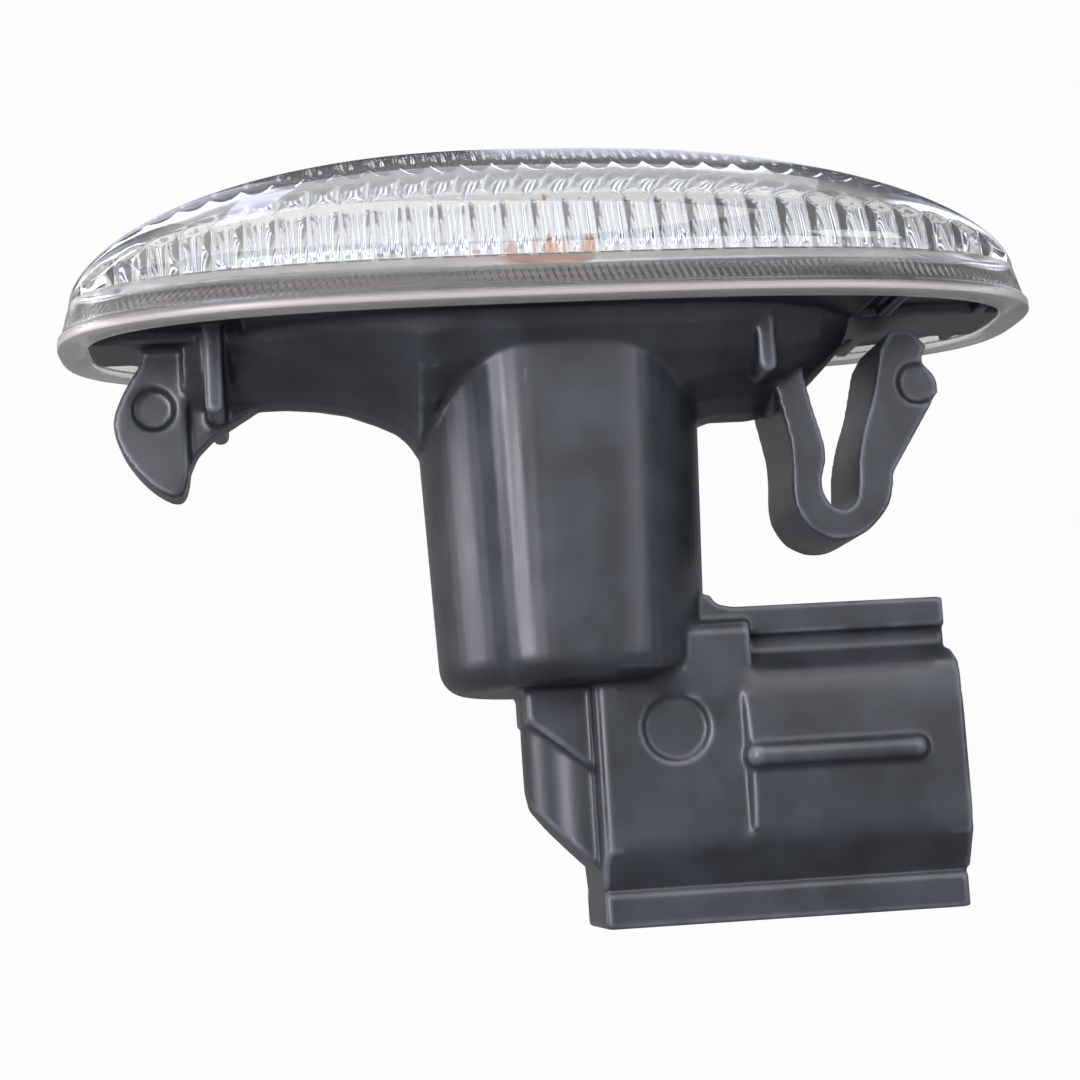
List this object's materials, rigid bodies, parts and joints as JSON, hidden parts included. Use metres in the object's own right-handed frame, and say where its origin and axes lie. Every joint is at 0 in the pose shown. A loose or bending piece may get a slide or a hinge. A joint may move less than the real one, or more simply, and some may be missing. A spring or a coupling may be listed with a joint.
{
  "type": "side repeater lamp",
  "caption": "Oval clear side repeater lamp for a car wing, with fluted lens, hook and spring clip, bulb tube and side-facing connector shroud.",
  "frame": {"origin": "middle of the lens rim, in the plane of its rear face that seats on the car's wing", "axes": "+X along the lens from the hook end to the clip end and out of the connector's mouth, +Z out of the car through the lens, +Y across the lens"},
  "size_m": [0.0984, 0.039, 0.0788],
  "materials": {
    "housing_plastic": "satin dark slate grey moulded plastic",
    "lens_clear": "clear moulded acrylic, polished outside and fluted inside",
    "reflector_metallised": "vacuum metallised bright",
    "bulb_amber": "amber lacquered blown glass",
    "filament_wire": "drawn tungsten",
    "lead_wire": "drawn nickel wire",
    "contact_brass": "stamped tinned brass"
  },
  "bodies": {
    "root": {"housing": "housing_plastic", "lens": "lens_clear", "reflector": "reflector_metallised", "bulb_glass": "bulb_amber", "bulb_filament": "filament_wire", "bulb_lead_left": "lead_wire", "bulb_lead_right": "lead_wire", "terminal_left": "contact_brass", "terminal_right": "contact_brass"}
  },
  "joints": []
}
